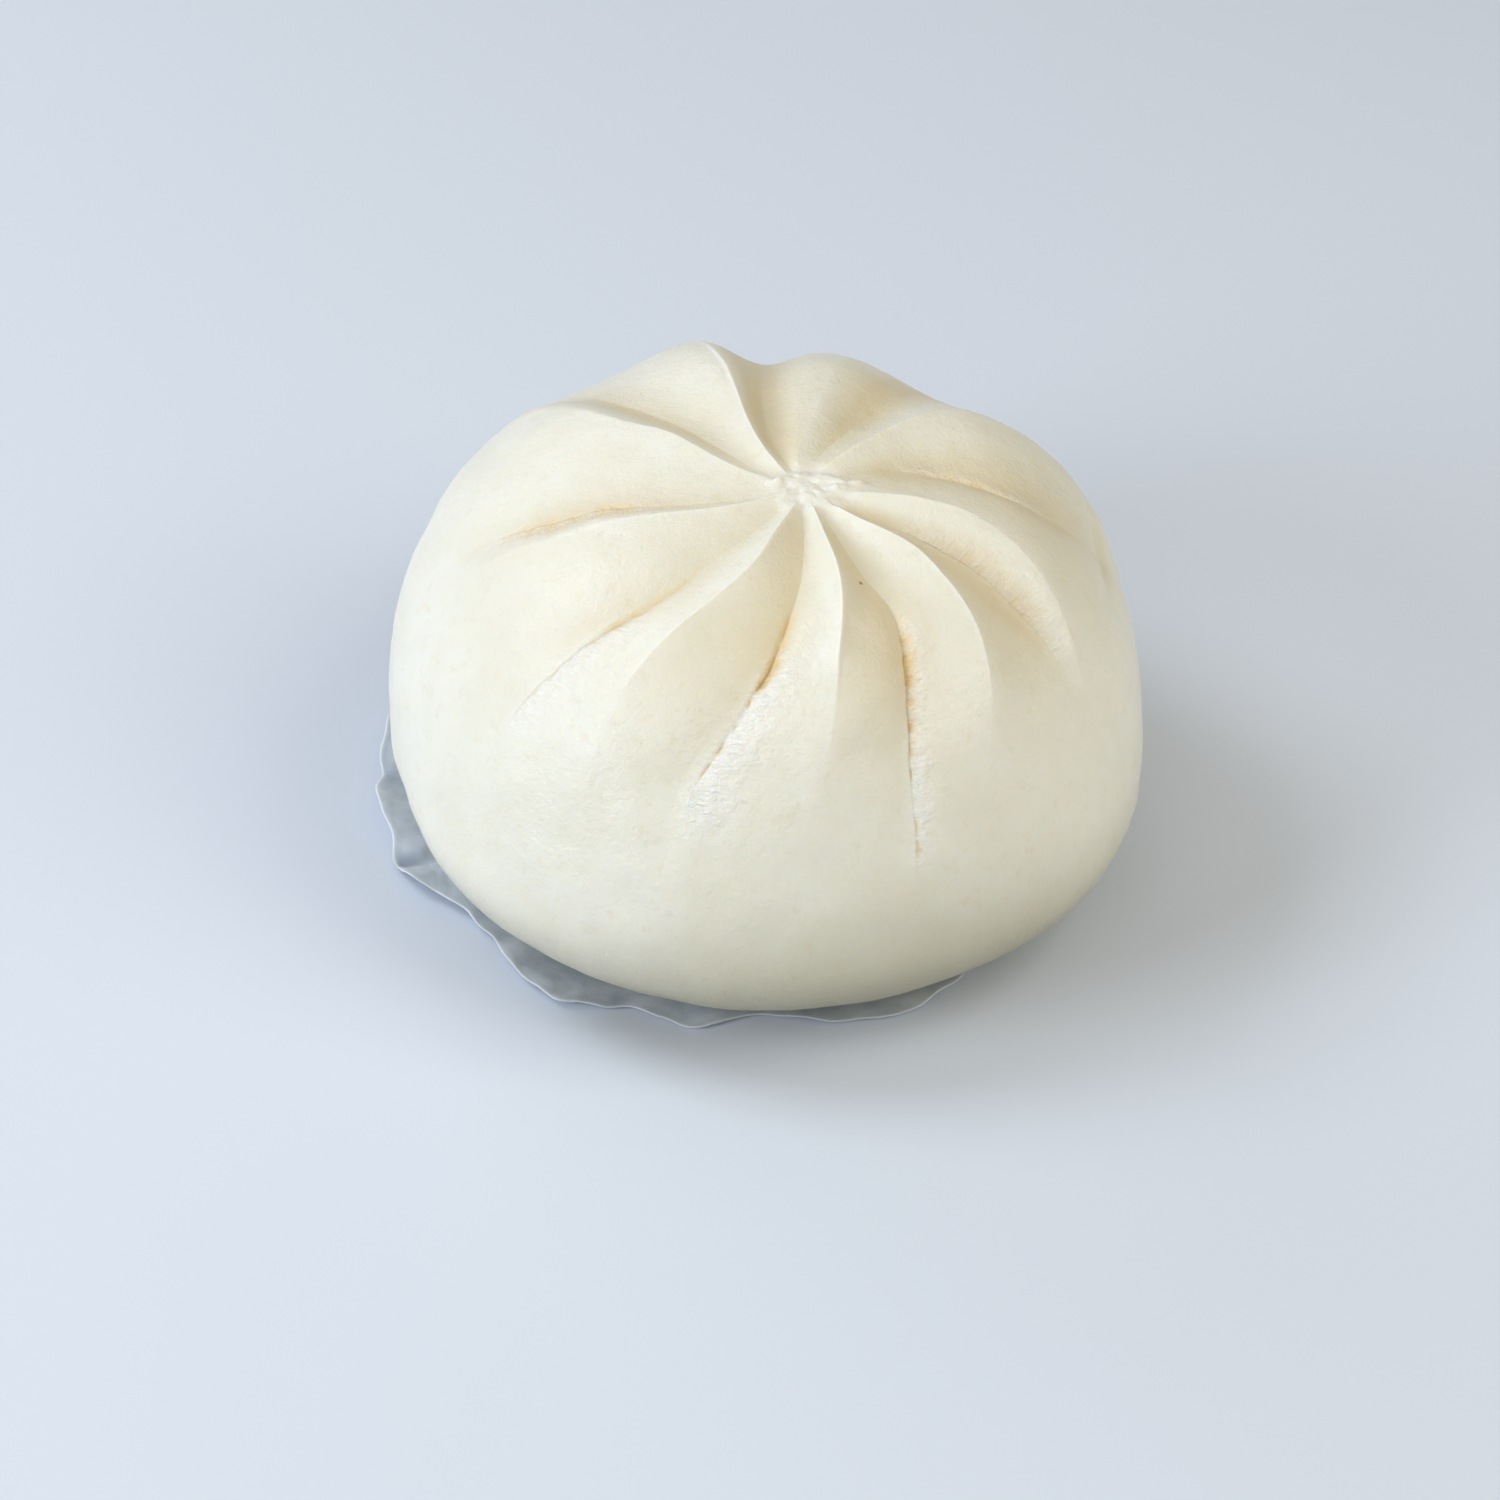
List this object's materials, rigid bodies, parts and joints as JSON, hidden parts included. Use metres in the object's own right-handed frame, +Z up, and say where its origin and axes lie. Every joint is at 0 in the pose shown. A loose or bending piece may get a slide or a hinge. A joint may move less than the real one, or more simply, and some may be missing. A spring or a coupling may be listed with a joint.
{
  "type": "steamed bun",
  "caption": "Round steamed wheat bun with a pleated, gathered top, on a waxed paper liner.",
  "frame": {"origin": "middle of the base of the whole, on the underside of the paper liner", "axes": "+Z up through the gathered top, -Y the front of the bun, +X its right side"},
  "size_m": [0.1154, 0.1138, 0.067],
  "materials": {
    "dough": "satin, smooth steamed dough skin",
    "waxed_paper": "translucent, softly creased waxed paper"
  },
  "bodies": {
    "root": {"bun": "dough", "paper_liner": "waxed_paper"}
  },
  "joints": []
}
